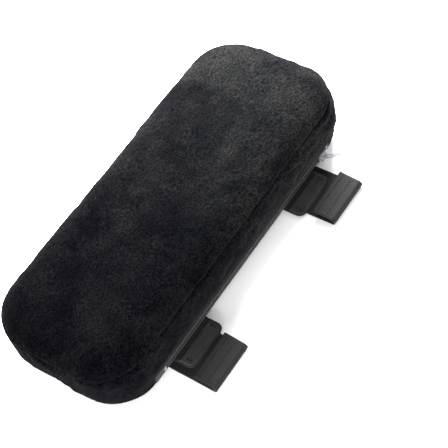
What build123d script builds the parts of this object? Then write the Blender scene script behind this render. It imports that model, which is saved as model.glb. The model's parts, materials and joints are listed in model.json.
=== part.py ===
"""Chair armrest pad: a foam pad in a zipped velour cover, with two hook-and-loop straps.

Millimetres, +Z up. The origin is the centre of the grip patch's lower face, which the pad rests on.
+X runs along the pad towards the closed zip slider, and the zip and the tabs are on the -Y side.
Section numbers called v and w are measured on the zip's own plane: v up across the chain, w outwards.
"""
from build123d import *
import os
from math import atan2, cos, degrees, hypot, radians, sin

# ---- driving dimensions ----
# pad
LENGTH = 254.0
WIDTH = 105.0
HEIGHT = 50.0
CORNER_R = 30.0
SEAM_Z = 37.0
CROWN_IN = 24.0
CROWN_BLEND_R = 18.0
FLANK_IN = 3.0
FLANK_UP = 12.0
COVER_T = 1.2
FOAM_GAP = 0.3
SEAM_THREAD = 0.6

# webbing straps and loop tabs
WEB_W = 34.0
WEB_T = 1.2
STRAP_END_INSET = 61.0
STRAP_REACH = 29.5
STRAP_ROOT_IN = 6.5
FOLD_GAP = 3.0
RETURN_ANGLE = 7.0
RETURN_LENGTH = 14.0
HOOK_LENGTH = 11.5
HOOK_T = 0.8
TAB_SHIFT = 5.0
TAB_T = 1.0
TAB_REACH = 11.0
TAB_ROOT_IN = 8.5
TAB_CORNER_R = 5.0
LOOP_T = 0.6
LOOP_LENGTH = 11.0
PATCH_MARGIN = 2.0
TACK_LENGTH = 2.5
TACK_MARGIN = 2.0
TACK_SETBACK = 0.8
THREAD_W = 0.5
THREAD_T = 0.25

# grip patch
GRIP_SIDE_GAP = 2.0
GRIP_EDGE_INSET = 12.5
GRIP_CORNER_R = 8.0

# zip
ZIP_CORNER_GAP = 1.0
CHAIN_END_INSET = 10.0
ZIP_OPENING_V = 4.2
TAPE_T = 0.6
TEETH_V = 2.0
TEETH_SPINE = 0.8
TEETH_OVERLAP = 0.4
TEETH_T = 1.4
TOOTH_PITCH = 2.4
TOOTH_W = 0.9
STOP_LENGTH = 1.8
STOP_V = 3.2
STOP_T = 1.8
SLIDER_LENGTH = 9.0
SLIDER_ON_CHAIN = 3.0
SLIDER_V = 3.4
PLATE_T = 1.0
FLANGE_W = 0.8
FLANGE_LENGTH = 5.5
POST_LENGTH = 3.0
POST_W = 1.2
NOSE_INSET = 0.7
BRIDGE_LENGTH = 6.0
BRIDGE_W = 1.0
BRIDGE_BAR = 0.8
BRIDGE_HEADROOM = 1.35
PULL_LENGTH = 14.5
PULL_W = 4.0
PULL_T = 0.8
PULL_LEG = 0.8
PULL_WINDOW = 4.2
PULL_ANGLE = 45.0
PULL_HOLE_R = 0.9
PULL_HOLE_INSET = 2.2

# clearances
GAP = 0.2
ZIP_CLEARANCE = 0.3
CHAIN_CLEARANCE = 0.35
CHANNEL_CLEARANCE = 0.85

# ---- sizes that follow ----
HALF_W = WIDTH / 2
STRAP_X = LENGTH / 2 - STRAP_END_INSET
TAB_X = STRAP_X - TAB_SHIFT
GRIP_LENGTH = 2 * (TAB_X - WEB_W / 2 - GRIP_SIDE_GAP)
GRIP_WIDTH = WIDTH - 2 * GRIP_EDGE_INSET
ZIP_HALF = LENGTH / 2 - CORNER_R - ZIP_CORNER_GAP
CHAIN_HALF = ZIP_HALF - CHAIN_END_INSET

STRAP_LOW = GAP
STRAP_TOP = STRAP_LOW + WEB_T
TAB_LOW = STRAP_TOP + GAP
TAB_TOP = TAB_LOW + TAB_T
BOTTOM_Z = TAB_TOP + GAP
BOTTOM_SEAM_Z = BOTTOM_Z + FLANK_UP / 2

FOLD_INNER_R = FOLD_GAP / 2
FOLD_OUTER_R = FOLD_INNER_R + WEB_T
FOLD_Y = -(HALF_W + STRAP_REACH)
FOLD_Z = STRAP_TOP + FOLD_INNER_R
STRAP_ROOT_Y = HALF_W - STRAP_ROOT_IN
TAB_ROOT_Y = -(HALF_W - TAB_ROOT_IN)
TAB_END_Y = -(HALF_W + TAB_REACH)

ZIP_TILT = atan2(FLANK_IN, FLANK_UP)
ZIP_OUT = Vector(0, -cos(ZIP_TILT), -sin(ZIP_TILT))
FLANK_CENTRE = Vector(0, -(HALF_W - FLANK_IN / 2), BOTTOM_SEAM_Z)
zip_plane = Plane(
    origin=FLANK_CENTRE - ZIP_OUT * (TAPE_T / 2), x_dir=(1, 0, 0), z_dir=ZIP_OUT
)
SLIDER_REAR = CHAIN_HALF - SLIDER_ON_CHAIN
SLIDER_FRONT = SLIDER_REAR + SLIDER_LENGTH
PLATE_LOW = TEETH_T / 2 + CHAIN_CLEARANCE
PLATE_TOP = PLATE_LOW + PLATE_T
BRIDGE_TOP = PLATE_TOP + BRIDGE_HEADROOM + BRIDGE_BAR
PIN_X = SLIDER_REAR + SLIDER_LENGTH / 2
PIN_OUT = PLATE_TOP + BRIDGE_HEADROOM / 2

SIDES = {"left": -1, "right": 1}

os.makedirs("parts", exist_ok=True)


def save(part, name):
    """Label a finished piece and write it as its own STEP file."""
    part.label = name
    export_step(part, f"parts/{name}.step")


def block(x, y, z, plane=Plane.XY, mode=Mode.ADD):
    """A box between three pairs of limits, along a plane's own directions."""
    with BuildSketch(plane.offset(z[0])) as outline:
        with Locations(((x[0] + x[1]) / 2, (y[0] + y[1]) / 2)):
            Rectangle(x[1] - x[0], y[1] - y[0])
    extrude(outline.sketch, amount=z[1] - z[0], mode=mode)


def zip_block(x, v, w, mode=Mode.ADD):
    """A box laid along the zip: x along it, v across it and w out of the cover."""
    block(x, v, w, plane=zip_plane, mode=mode)


# ---- pad and cover ----
def bevel(edges, face, inward, along, inset):
    """Bevel a rim so that the bevels of two nested envelopes stay one cover thickness apart."""
    slant = hypot(inward, along)
    depth = inward * along / slant
    share = 1 + inset * (1 - (inward + along) / slant) / depth
    chamfer(edges, length=inward * share, length2=along * share, reference=face)


def envelope(inset):
    """The pad's outside shape, moved inwards by inset on every side."""
    with BuildPart() as body:
        with BuildSketch(Plane.XY.offset(BOTTOM_Z + inset)):
            RectangleRounded(LENGTH - 2 * inset, WIDTH - 2 * inset, CORNER_R - inset)
        extrude(amount=HEIGHT - BOTTOM_Z - 2 * inset)
        underside = body.faces().sort_by(Axis.Z)[0]
        bevel(underside.edges(), underside, FLANK_IN, FLANK_UP, inset)
        top = body.faces().sort_by(Axis.Z)[-1]
        bevel(top.edges(), top, CROWN_IN, HEIGHT - SEAM_Z, inset)
        crown = body.faces().sort_by(Axis.Z)[-1]
        fillet(crown.edges(), CROWN_BLEND_R - inset)
    return body.part


def cover_slice(low, high, opening=False):
    """The cover's skin between two heights, with the zip's opening left out of it if asked."""
    with BuildPart() as skin:
        add(envelope(0))
        add(envelope(COVER_T), mode=Mode.SUBTRACT)
        with BuildSketch(Plane.XY.offset(low)):
            Rectangle(2 * LENGTH, 2 * WIDTH)
        extrude(amount=high - low, mode=Mode.INTERSECT)
        if opening:
            zip_block(
                (-ZIP_HALF, ZIP_HALF),
                (-ZIP_OPENING_V, ZIP_OPENING_V),
                (-2 * COVER_T, 2 * COVER_T),
                mode=Mode.SUBTRACT,
            )
    return skin.part


with BuildPart() as foam_core:
    add(envelope(COVER_T + FOAM_GAP))
    # the relief that the slider's inner plate runs in
    zip_block(
        (-ZIP_HALF, ZIP_HALF),
        (-ZIP_OPENING_V - ZIP_CLEARANCE, ZIP_OPENING_V + ZIP_CLEARANCE),
        (-PLATE_TOP - CHANNEL_CLEARANCE, PLATE_TOP),
        mode=Mode.SUBTRACT,
    )
save(foam_core.part, "foam_core")

HALF_THREAD = SEAM_THREAD / 2
save(cover_slice(SEAM_Z + HALF_THREAD, HEIGHT), "cover_top_panel")
save(cover_slice(SEAM_Z - HALF_THREAD, SEAM_Z + HALF_THREAD), "top_seam_stitching")
save(
    cover_slice(BOTTOM_SEAM_Z + HALF_THREAD, SEAM_Z - HALF_THREAD, opening=True),
    "cover_side_band",
)
save(
    cover_slice(BOTTOM_SEAM_Z - HALF_THREAD, BOTTOM_SEAM_Z + HALF_THREAD, opening=True),
    "bottom_seam_stitching",
)
save(cover_slice(BOTTOM_Z, BOTTOM_SEAM_Z - HALF_THREAD, opening=True), "cover_bottom_panel")

with BuildPart() as grip_patch:
    with BuildSketch():
        RectangleRounded(GRIP_LENGTH, GRIP_WIDTH, GRIP_CORNER_R)
    extrude(amount=BOTTOM_Z)
save(grip_patch.part, "grip_patch")


# ---- zip ----
TAPE_EDGES = {"lower": (-ZIP_OPENING_V, -TEETH_V), "upper": (TEETH_V, ZIP_OPENING_V)}


def tapes(x, mode=Mode.ADD):
    """Both tapes over a stretch of the zip."""
    for edges in TAPE_EDGES.values():
        zip_block(x, edges, (-TAPE_T / 2, TAPE_T / 2), mode=mode)


for row, (name, edges) in enumerate(TAPE_EDGES.items()):
    with BuildPart() as tape:
        zip_block((-ZIP_HALF, ZIP_HALF), edges, (-TAPE_T / 2, TAPE_T / 2))
    save(tape.part, f"zip_tape_{name}")

    # the rows mesh on the centre line, each half a pitch from the other
    facing = 1 if name == "upper" else -1
    reach = TEETH_V + TEETH_OVERLAP
    teeth_count = int(2 * CHAIN_HALF / TOOTH_PITCH)
    first = -teeth_count * TOOTH_PITCH / 2 + (row + 0.5) * TOOTH_PITCH / 2
    with BuildPart() as teeth:
        with BuildSketch(zip_plane.offset(-TEETH_T / 2)):
            with Locations((0, facing * (TEETH_V - TEETH_SPINE / 2))):
                Rectangle(2 * CHAIN_HALF, TEETH_SPINE)
            with Locations(
                *[
                    (first + turn * TOOTH_PITCH, facing * (TEETH_V - reach / 2))
                    for turn in range(teeth_count)
                ]
            ):
                Rectangle(TOOTH_W, reach)
        extrude(amount=TEETH_T)
    save(teeth.part, f"zip_teeth_{name}")

with BuildPart() as zip_top_stops:
    stop_x = (SLIDER_FRONT + ZIP_CLEARANCE, SLIDER_FRONT + ZIP_CLEARANCE + STOP_LENGTH)
    for facing in (-1, 1):
        spine = sorted((facing * (TEETH_V - TEETH_SPINE), facing * STOP_V))
        zip_block(stop_x, spine, (-STOP_T / 2, STOP_T / 2))
    tapes(stop_x, mode=Mode.SUBTRACT)
save(zip_top_stops.part, "zip_top_stops")

with BuildPart() as zip_bottom_stop:
    stop_x = (-CHAIN_HALF - ZIP_CLEARANCE - STOP_LENGTH, -CHAIN_HALF - ZIP_CLEARANCE)
    zip_block(stop_x, (-STOP_V, STOP_V), (-STOP_T / 2, STOP_T / 2))
    tapes(stop_x, mode=Mode.SUBTRACT)
save(zip_bottom_stop.part, "zip_bottom_stop")

with BuildPart() as zip_slider:
    for low in (-PLATE_TOP, PLATE_LOW):
        with BuildSketch(zip_plane.offset(low)):
            with BuildLine():
                Polyline(
                    (SLIDER_REAR, -SLIDER_V + NOSE_INSET),
                    (SLIDER_REAR + FLANGE_LENGTH, -SLIDER_V),
                    (SLIDER_FRONT - NOSE_INSET, -SLIDER_V),
                    (SLIDER_FRONT, -SLIDER_V + NOSE_INSET),
                    (SLIDER_FRONT, SLIDER_V - NOSE_INSET),
                    (SLIDER_FRONT - NOSE_INSET, SLIDER_V),
                    (SLIDER_REAR + FLANGE_LENGTH, SLIDER_V),
                    (SLIDER_REAR, SLIDER_V - NOSE_INSET),
                    close=True,
                )
            make_face()
        extrude(amount=PLATE_T)
    # rims that hold the tapes, on both plates
    rim_inner = TEETH_V + ZIP_CLEARANCE
    rim_low = TAPE_T / 2 + ZIP_CLEARANCE
    for facing in (-1, 1):
        rim = sorted((facing * rim_inner, facing * (rim_inner + FLANGE_W)))
        for low, high in ((-PLATE_LOW, -rim_low), (rim_low, PLATE_LOW)):
            zip_block((SLIDER_REAR + FLANGE_LENGTH / 2, SLIDER_REAR + FLANGE_LENGTH), rim, (low, high))
    # the post that parts the rows
    post_x = (SLIDER_FRONT - NOSE_INSET - POST_LENGTH, SLIDER_FRONT - NOSE_INSET)
    zip_block(post_x, (-POST_W / 2, POST_W / 2), (-PLATE_LOW, PLATE_LOW))
    # the bridge that carries the pull
    bridge_x = (PIN_X - BRIDGE_LENGTH / 2, PIN_X + BRIDGE_LENGTH / 2)
    zip_block(bridge_x, (-BRIDGE_W / 2, BRIDGE_W / 2), (PLATE_TOP, BRIDGE_TOP))
    zip_block(
        (bridge_x[0] + BRIDGE_BAR, bridge_x[1] - BRIDGE_BAR),
        (-BRIDGE_W, BRIDGE_W),
        (PLATE_TOP, PLATE_TOP + BRIDGE_HEADROOM),
        mode=Mode.SUBTRACT,
    )
save(zip_slider.part, "zip_slider")

# the pull lies on a plane through its pin, turned up from the slider by PULL_ANGLE
pin_centre = zip_plane.from_local_coords((PIN_X, 0, PIN_OUT))
pull_along = zip_plane.x_dir * cos(radians(PULL_ANGLE)) + zip_plane.z_dir * sin(radians(PULL_ANGLE))
pull_plane = Plane(
    origin=pin_centre, x_dir=pull_along, z_dir=pull_along.cross(zip_plane.y_dir)
)
with BuildPart() as zip_pull_tab:
    with BuildSketch(pull_plane.offset(-PULL_T / 2)):
        with Locations((PULL_LENGTH / 2 - PULL_T / 4, 0)):
            RectangleRounded(PULL_LENGTH + PULL_T / 2, PULL_W, PULL_W / 3)
        with Locations((PULL_T / 2 + PULL_WINDOW / 2, 0)):
            Rectangle(PULL_WINDOW, PULL_W - 2 * PULL_LEG, mode=Mode.SUBTRACT)
        with Locations((PULL_LENGTH - PULL_HOLE_INSET, 0)):
            Circle(PULL_HOLE_R, mode=Mode.SUBTRACT)
    extrude(amount=PULL_T)
save(zip_pull_tab.part, "zip_pull_tab")


# ---- straps and tabs ----
def strap_lane(sign, centre, width):
    """The x limits of something centred on a strap or a tab of one side."""
    return sign * centre - width / 2, sign * centre + width / 2


for side, sign in SIDES.items():
    strap_x = strap_lane(sign, STRAP_X, WEB_W)
    patch_x = strap_lane(sign, STRAP_X, WEB_W - 2 * PATCH_MARGIN)
    tack_x = strap_lane(sign, STRAP_X, WEB_W - 2 * TACK_MARGIN)

    # the flat run from the far seam, under the pad and out to the fold
    with BuildPart() as strap_run:
        block(strap_x, (FOLD_Y, STRAP_ROOT_Y - GAP), (STRAP_LOW, STRAP_TOP))
    save(strap_run.part, f"strap_{side}_run")

    with BuildPart() as strap_bar_tack:
        tack_y = STRAP_ROOT_Y - TACK_SETBACK
        block(tack_x, (tack_y - TACK_LENGTH, tack_y), (TAB_LOW, BOTTOM_Z))
    save(strap_bar_tack.part, f"strap_{side}_bar_tack")

    # the bend, round the fold's own axis
    fold_centre = (FOLD_Y, FOLD_Z)
    fold_arc = 180 - RETURN_ANGLE
    with BuildPart() as strap_fold:
        with BuildSketch(Plane.YZ.offset(strap_x[0])):
            with BuildLine():
                outer = CenterArc(fold_centre, FOLD_OUTER_R, 90 + RETURN_ANGLE, fold_arc)
                inner = CenterArc(fold_centre, FOLD_INNER_R, 90 + RETURN_ANGLE, fold_arc)
                Line(outer @ 0, inner @ 0)
                Line(outer @ 1, inner @ 1)
            make_face()
        extrude(amount=WEB_W)
    save(strap_fold.part, f"strap_{side}_fold")

    # the layer that comes back from the fold, rising towards the pad
    rise = radians(RETURN_ANGLE)
    return_plane = Plane(
        origin=(0, FOLD_Y, FOLD_Z), x_dir=(1, 0, 0), z_dir=(0, -sin(rise), cos(rise))
    )
    with BuildPart() as strap_end:
        block(strap_x, (GAP, RETURN_LENGTH), (FOLD_INNER_R, FOLD_OUTER_R), plane=return_plane)
    save(strap_end.part, f"strap_{side}_end")

    hook_y = (RETURN_LENGTH - HOOK_LENGTH, RETURN_LENGTH - PATCH_MARGIN / 2)
    with BuildPart() as hook_patch:
        block(patch_x, hook_y, (FOLD_INNER_R - HOOK_T, FOLD_INNER_R), plane=return_plane)
    save(hook_patch.part, f"strap_{side}_hook_patch")

    with BuildPart() as strap_stitching:
        for y in (hook_y[0] + PATCH_MARGIN, hook_y[1] - PATCH_MARGIN):
            thread_w = (FOLD_OUTER_R, FOLD_OUTER_R + THREAD_T)
            block(tack_x, (y - THREAD_W, y), thread_w, plane=return_plane)
    save(strap_stitching.part, f"strap_{side}_stitching")

    # the tab, sewn under the near edge, with its loop pile on the upper face
    tab_x = strap_lane(sign, TAB_X, WEB_W)
    with BuildPart() as tab:
        block(tab_x, (TAB_END_Y, TAB_ROOT_Y - GAP), (TAB_LOW, TAB_TOP))
        outer_corners = tab.edges().filter_by(Axis.Z).group_by(Axis.Y)[0]
        fillet(outer_corners, TAB_CORNER_R)
    save(tab.part, f"tab_{side}")

    tab_tack_x = strap_lane(sign, TAB_X, WEB_W - 2 * TACK_MARGIN)
    with BuildPart() as tab_bar_tack:
        tack_y = TAB_ROOT_Y + TACK_SETBACK
        block(tab_tack_x, (tack_y, tack_y + TACK_LENGTH), (TAB_LOW, BOTTOM_Z))
    save(tab_bar_tack.part, f"tab_{side}_bar_tack")

    loop_y = (TAB_END_Y + PATCH_MARGIN / 2, TAB_END_Y + LOOP_LENGTH)
    loop_x = strap_lane(sign, TAB_X, WEB_W - PATCH_MARGIN)
    with BuildPart() as loop_patch:
        block(loop_x, loop_y, (TAB_TOP, TAB_TOP + LOOP_T))
        outer_corners = loop_patch.edges().filter_by(Axis.Z).group_by(Axis.Y)[0]
        fillet(outer_corners, TAB_CORNER_R - PATCH_MARGIN / 2)
    save(loop_patch.part, f"tab_{side}_loop_patch")

    with BuildPart() as tab_stitching:
        for facing in (-1, 1):
            seam_x = sign * TAB_X + facing * (WEB_W / 2 - 2 * PATCH_MARGIN)
            block(
                (seam_x - THREAD_W / 2, seam_x + THREAD_W / 2),
                (loop_y[0] + PATCH_MARGIN, loop_y[1] - PATCH_MARGIN),
                (TAB_TOP + LOOP_T, TAB_TOP + LOOP_T + THREAD_T),
            )
    save(tab_stitching.part, f"tab_{side}_stitching")

print("zip travel", round(SLIDER_REAR + CHAIN_HALF - ZIP_CLEARANCE, 3))
print("pull pin", [round(n, 4) for n in pin_centre], "axis", [round(n, 6) for n in zip_plane.y_dir])
print("fold axis", FOLD_Y, round(FOLD_Z, 3), "strap root", STRAP_ROOT_Y, "tab root", TAB_ROOT_Y)
print("bottom", round(BOTTOM_Z, 3), "zip tilt", round(degrees(ZIP_TILT), 3))
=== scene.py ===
"""Looks of the chair armrest pad: velour cover, foam, zip, webbing straps and loop tabs.

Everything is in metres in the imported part's own frame: +X along the pad, the zip and the tabs
on -Y, +Z up.
"""
import json
from math import cos, pi, radians, sin, tau

import bmesh
import bpy
import numpy as np
from bpy.props import FloatProperty, FloatVectorProperty, IntProperty, PointerProperty
from mathutils import Matrix, Vector


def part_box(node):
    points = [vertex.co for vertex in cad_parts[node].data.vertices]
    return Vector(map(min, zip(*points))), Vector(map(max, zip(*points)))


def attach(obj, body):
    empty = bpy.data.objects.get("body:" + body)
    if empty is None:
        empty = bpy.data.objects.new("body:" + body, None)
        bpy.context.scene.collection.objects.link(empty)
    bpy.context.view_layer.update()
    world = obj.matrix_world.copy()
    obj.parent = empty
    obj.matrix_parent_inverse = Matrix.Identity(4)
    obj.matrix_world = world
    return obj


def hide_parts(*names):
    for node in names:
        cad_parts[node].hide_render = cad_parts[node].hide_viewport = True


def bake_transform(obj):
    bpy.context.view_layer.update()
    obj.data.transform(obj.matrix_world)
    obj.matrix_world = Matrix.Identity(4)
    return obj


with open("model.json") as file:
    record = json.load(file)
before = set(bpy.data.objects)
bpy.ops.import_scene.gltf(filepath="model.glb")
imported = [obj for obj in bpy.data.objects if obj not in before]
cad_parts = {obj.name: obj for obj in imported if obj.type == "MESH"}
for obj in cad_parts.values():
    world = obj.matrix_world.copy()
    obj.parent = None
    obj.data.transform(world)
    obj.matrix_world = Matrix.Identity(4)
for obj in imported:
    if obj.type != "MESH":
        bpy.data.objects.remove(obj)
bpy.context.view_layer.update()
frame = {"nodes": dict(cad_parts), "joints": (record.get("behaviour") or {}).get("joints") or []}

bl_info = {
    "name": "Armrest pad",
    "version": (1, 0, 0),
    "blender": (4, 5, 0),
    "location": "View3D > Sidebar > Armrest pad",
    "description": "Dresses the armrest pad: velour cover, foam, zip, straps and tabs",
    "category": "Object",
}

MM = 0.001
SIDES = ("left", "right")

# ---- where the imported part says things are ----
TOP_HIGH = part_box("cover_top_panel")[1]
TAPE_LOW, TAPE_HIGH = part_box("zip_tape_lower")
UPPER_TAPE_LOW, UPPER_TAPE_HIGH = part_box("zip_tape_upper")
HALF_LENGTH, HALF_WIDTH, PAD_TOP = TOP_HIGH
PAD_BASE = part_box("cover_bottom_panel")[0].z
SEAM_Z = sum(v.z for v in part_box("top_seam_stitching")) / 2
BASE_SEAM_Z = sum(v.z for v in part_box("bottom_seam_stitching")) / 2
ZIP_END = TAPE_HIGH.x
CORNER = HALF_LENGTH - ZIP_END

# how far the foot of the side band leans in, and the strap's return past its fold
FLANK_IN = 3 * MM
RETURN_LENGTH = 14 * MM

# the zip's own plane: out of the cover, and up across the chain
ZIP_TILT = np.arctan2(FLANK_IN, 2 * (BASE_SEAM_Z - PAD_BASE))
ZIP_OUT = np.array((0, -cos(ZIP_TILT), -sin(ZIP_TILT)))
ZIP_UP = np.array((0, -sin(ZIP_TILT), cos(ZIP_TILT)))
ZIP_MIDDLE = np.array(
    (
        0,
        (TAPE_LOW.y + TAPE_HIGH.y + UPPER_TAPE_LOW.y + UPPER_TAPE_HIGH.y) / 4,
        (TAPE_LOW.z + TAPE_HIGH.z + UPPER_TAPE_LOW.z + UPPER_TAPE_HIGH.z) / 4,
    )
)


# ---- sizes and colours that a user would change ----
def number(name, about, value, **limits):
    return FloatProperty(name=name, description=about, default=value, **limits)


def length(name, about, value, **limits):
    return number(name, about, value, subtype="DISTANCE", unit="LENGTH", **limits)


def power(name, about, value):
    return number(name, about, value, min=0, subtype="POWER", unit="POWER")


def tint(name, about, *value):
    return FloatVectorProperty(
        name=name, description=about, default=value, min=0, max=1, subtype="COLOR"
    )


class PadSettings(bpy.types.PropertyGroup):
    """The cover, its seams, the foam and the grip patch."""

    mesh_step: length(
        "Cloth step", "Edge length of the cover before it is subdivided",
        3.0 * MM, min=1.5 * MM, max=8 * MM,
    )
    crown_reach: length("Crown reach", "How far in from the seam the top still curves", 20 * MM)
    seam_sink: length("Seam sink", "Depth of the groove that the top seam pulls in", 3.2 * MM)
    side_swell: length("Side swell", "How far the side band stands proud of its seams", 1.3 * MM)
    cloth_thickness: length(
        "Cloth thickness", "Thickness of the velour with its backing", 1.0 * MM
    )
    swell_pressure: number(
        "Swell pressure", "Pressure that fills the cover in the cloth simulation", 2.0,
        min=0.0, max=20.0,
    )
    slack: number(
        "Cloth slack", "Share by which the cloth is larger than the pad", 0.012, min=0.0, max=0.2
    )
    swell_limit: length(
        "Swell limit", "Furthest that the simulation may move the cloth", 5 * MM
    )
    foam_give: length("Foam give", "How far the foam lets the cloth sink in", 0.5 * MM)
    crease_depth: length("Crease depth", "Depth of the deepest creases in the cover", 1.7 * MM)
    velour_dark: tint("Velour dark", "Colour of the pile brushed away", 0.0011, 0.0011, 0.0018)
    velour_light: tint(
        "Velour light", "Colour of the pile brushed towards the light", 0.0068, 0.0068, 0.0069
    )
    # painted light: how much lighter the velour's colour is painted towards the slider's end,
    # standing in for the far softbox's light
    painted_end_light: number(
        "Pile lay", "How much lighter the brushed pile is at the slider's end", 0.17,
        min=-1.0, max=1.0,
    )
    thread_colour: tint("Seam thread", "Colour of the thread in the seams", 0.004, 0.004, 0.0045)
    foam_colour: tint("Foam", "Colour of the memory foam", 0.72, 0.66, 0.50)
    grip_colour: tint("Grip cloth", "Colour of the grip patch's backing", 0.012, 0.012, 0.013)
    dot_colour: tint("Grip dots", "Colour of the rubber dots", 0.030, 0.030, 0.033)
    dot_pitch: length("Dot pitch", "Spacing of the rubber dots", 5.2 * MM)
    dot_radius: length("Dot radius", "Radius of one rubber dot", 1.55 * MM)
    stitch_length: length("Stitch length", "Length of one stitch in the seams", 3.0 * MM)
    thread_radius: length("Thread radius", "Radius of the sewing thread", 0.28 * MM)
    seed: IntProperty(
        name="Seed", description="Seed of the small irregularities", default=11, min=0
    )


class StrapSettings(bpy.types.PropertyGroup):
    """The webbing straps and the tabs."""

    webbing_colour: tint("Webbing", "Colour of the elastic webbing", 0.0075, 0.0075, 0.0080)
    tab_colour: tint("Tab cloth", "Colour of the tab's backing", 0.0070, 0.0070, 0.0075)
    loop_colour: tint("Loop pile", "Colour of the soft loop pile", 0.021, 0.021, 0.0215)
    hook_colour: tint("Hook tape", "Colour of the hook tape", 0.0080, 0.0080, 0.0085)
    rib_pitch: length("Rib pitch", "Spacing of the webbing's lengthwise ribs", 1.25 * MM)
    hook_pitch: length("Hook pitch", "Spacing of the small hooks", 1.3 * MM)
    split_y: length("Split", "Where the strap's sewn half meets its folded half", -30 * MM)


class ZipSettings(bpy.types.PropertyGroup):
    """The zip."""

    tape_colour: tint("Zip tape", "Colour of the woven zip tape", 0.030, 0.030, 0.031)
    coil_colour: tint("Zip coil", "Colour of the nylon coil", 0.014, 0.014, 0.015)
    metal_colour: tint("Zip metal", "Colour of the plated slider and pull", 0.44, 0.44, 0.46)
    coil_pitch: length("Coil pitch", "Length of one turn of the coil", 1.7 * MM)
    coil_wire: length("Coil wire", "Radius of the coil's nylon wire", 0.27 * MM)
    edge_bevel: length("Metal edge", "Rounding of the metal pieces' edges", 0.12 * MM)


class StageSettings(bpy.types.PropertyGroup):
    """The floor, the light and the camera."""

    floor_colour: tint("Floor", "Colour of the floor", 0.95, 0.95, 0.95)
    sky_strength: number("Sky", "Strength of the light from all round", 1.0, min=0)
    far_light: power("Far softbox", "Power of the softbox beyond the slider's end", 15.0)
    near_light: power("Near softbox", "Power of the low softbox beyond the other end", 7.0)
    back_light: power("Back softbox", "Power of the low softbox behind the pad", 6.0)
    key_light: power("Key softbox", "Power of the large softbox overhead", 1.0)
    lens: number(
        "Lens", "Focal length on a 36 mm sensor, in millimetres", 98.7, min=10, max=300
    )


def settings(name):
    """One of this object's property groups."""
    return getattr(bpy.context.scene, name)


# ---- node helpers ----
class Shader:
    """A material under construction."""

    def __init__(self, name, **values):
        self.material = bpy.data.materials.new(name)
        self.material.use_nodes = True
        self.nodes = self.material.node_tree.nodes
        self.links = self.material.node_tree.links
        self.surface = self.nodes["Principled BSDF"]
        for socket, value in values.items():
            self.feed(self.surface.inputs[socket.replace("_", " ")], value)

    def feed(self, socket, value):
        """Link a socket to another, or give it plain numbers."""
        if hasattr(value, "is_linked"):
            self.links.new(value, socket)
        else:
            wide = socket.type == "RGBA" and len(value) == 3
            socket.default_value = (*value, 1.0) if wide else value

    def add(self, kind, **values):
        """A new node with its own settings."""
        node = self.nodes.new(kind)
        for name, value in values.items():
            setattr(node, name, value)
        return node

    def place(self):
        """Where a point of the object is, in metres."""
        return self.add("ShaderNodeTexCoord").outputs["Object"]

    def laid(self):
        """A point's place on the flat cloth, kept in the attribute "laid"."""
        return self.add(
            "ShaderNodeAttribute", attribute_name="laid", attribute_type="GEOMETRY"
        ).outputs["Vector"]

    def axes(self, vector):
        """The X, Y and Z of a vector."""
        node = self.add("ShaderNodeSeparateXYZ")
        self.feed(node.inputs["Vector"], vector)
        return node.outputs

    def stretched(self, vector, scale):
        node = self.add("ShaderNodeMapping")
        self.feed(node.inputs["Scale"], scale)
        self.feed(node.inputs["Vector"], vector)
        return node.outputs["Vector"]

    def cloud(self, vector, scale, detail=4.0, roughness=0.55, distortion=0.0):
        """Soft noise, its scale in cells per metre."""
        node = self.add("ShaderNodeTexNoise")
        names = ("Vector", "Scale", "Detail", "Roughness", "Distortion")
        for name, value in zip(names, (vector, scale, detail, roughness, distortion)):
            self.feed(node.inputs[name], value)
        return node.outputs["Fac"]

    def ramp(self, value, *stops):
        """Colours or greys at stops along a value."""
        node = self.add("ShaderNodeValToRGB")
        elements = node.color_ramp.elements
        while len(elements) < len(stops):
            elements.new(0.5)
        for element, (at, colour) in zip(elements, stops):
            element.position = at
            element.color = (*(colour if hasattr(colour, "__len__") else (colour,) * 3), 1.0)
        self.feed(node.inputs["Fac"], value)
        return node.outputs["Color"]

    def maths(self, operation, *values):
        node = self.add("ShaderNodeMath", operation=operation)
        for socket, value in zip(node.inputs, values):
            self.feed(socket, value)
        return node.outputs["Value"]

    def weighted(self, *shares):
        """Values added up, each times its share."""
        total = None
        for value, share in shares:
            part = self.maths("MULTIPLY", value, share)
            total = part if total is None else self.maths("ADD", total, part)
        return total

    def wave(self, value, pitch):
        return self.maths("SINE", self.maths("MULTIPLY", value, tau / pitch))

    def raised(self, wave):
        """A wave moved from -1..1 to 0..1."""
        return self.maths("ADD", self.maths("MULTIPLY", wave, 0.5), 0.5)

    def woven(self, vector, across, along):
        """Height of a plain weave: two waves that pass over each other."""
        x, y, _ = self.axes(vector)
        return self.raised(self.maths("MULTIPLY", self.wave(x, across), self.wave(y, along)))

    def mixed(self, factor, a, b, way="MIX"):
        """Two colours mixed by a factor."""
        node = self.add("ShaderNodeMix", data_type="RGBA", blend_type=way)
        sockets = [node.inputs["Factor"], *(k for k in node.inputs if k.type == "RGBA")]
        for socket, value in zip(sockets, (factor, a, b)):
            self.feed(socket, value)
        return next(k for k in node.outputs if k.type == "RGBA")

    def colour(self, source):
        self.feed(self.surface.inputs["Base Color"], source)
        return self

    def shaded(self, mask, colour, low, high):
        """Surface colour from low times a colour to high times it, as the mask goes up."""
        return self.colour(self.mixed(mask, shade(colour, low), shade(colour, high)))

    def rough(self, source, low, high):
        """Roughness from low to high as source goes from 0 to 1."""
        node = self.add("ShaderNodeMapRange")
        for name, value in (("To Min", low), ("To Max", high), ("Value", source)):
            self.feed(node.inputs[name], value)
        self.feed(self.surface.inputs["Roughness"], node.outputs["Result"])
        return self

    def bump(self, *layers):
        """Bumps on the surface, each layer a height, its depth in metres and its strength."""
        normal = None
        for height, depth, strength in layers:
            node = self.add("ShaderNodeBump")
            for name, value in (("Strength", strength), ("Distance", depth), ("Height", height)):
                self.feed(node.inputs[name], value)
            if normal is not None:
                self.feed(node.inputs["Normal"], normal)
            normal = node.outputs["Normal"]
        self.feed(self.surface.inputs["Normal"], normal)
        return self


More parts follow.
